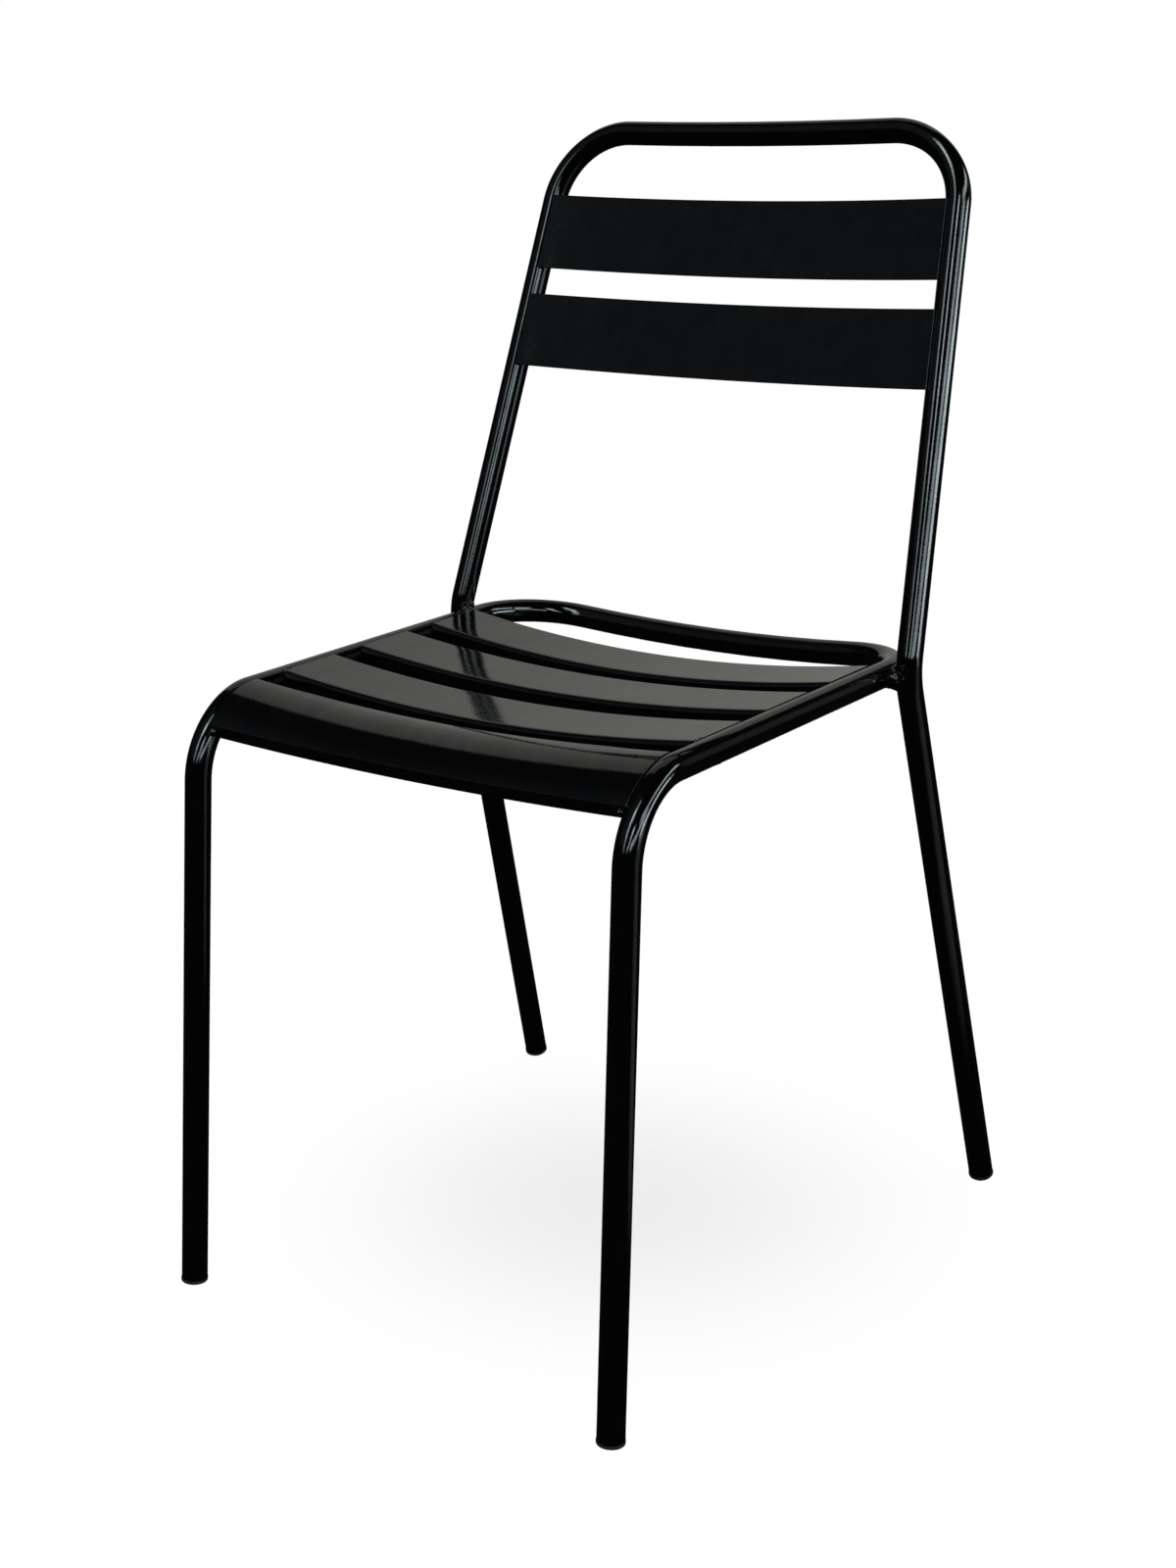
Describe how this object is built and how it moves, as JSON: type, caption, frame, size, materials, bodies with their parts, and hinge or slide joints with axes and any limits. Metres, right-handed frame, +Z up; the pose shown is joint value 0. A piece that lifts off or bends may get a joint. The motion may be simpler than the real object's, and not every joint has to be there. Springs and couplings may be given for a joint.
{
  "type": "metal garden chair",
  "caption": "Armless stacking garden chair of bent round tube, with curved sheet slats across the seat and back and a plugged foot on each leg.",
  "frame": {"origin": "centre of the footprint's bounding box, on the floor", "axes": "+Z up, the sitter faces -Y, +X to the right seen from the front"},
  "size_m": [0.4594, 0.5112, 0.8364],
  "materials": {
    "tube_paint": "high-gloss black paint on bent steel tube",
    "slat_paint": "gloss black paint on pressed steel sheet",
    "weld_paint": "gloss black paint over weld metal",
    "foot_plastic": "black moulded plastic, scuffed at the sole"
  },
  "bodies": {
    "root": {"front_frame_tube": "tube_paint", "rear_hoop_tube": "tube_paint", "seat_slat_front": "slat_paint", "seat_slat_second": "slat_paint", "seat_slat_third": "slat_paint", "seat_slat_rear": "slat_paint", "back_slat_lower": "slat_paint", "back_slat_upper": "slat_paint", "corner_weld_right": "weld_paint", "corner_weld_left": "weld_paint", "tack_welds_front_lip": "weld_paint", "tack_welds_front_slat": "weld_paint", "tack_welds_second_slat": "weld_paint", "tack_welds_third_slat": "weld_paint", "tack_welds_rear_slat": "weld_paint", "weld_seams_lower_back_slat": "weld_paint", "weld_seams_upper_back_slat": "weld_paint", "foot_plug_front_right": "foot_plastic", "foot_plug_front_left": "foot_plastic", "foot_plug_rear_right": "foot_plastic", "foot_plug_rear_left": "foot_plastic"}
  },
  "joints": []
}
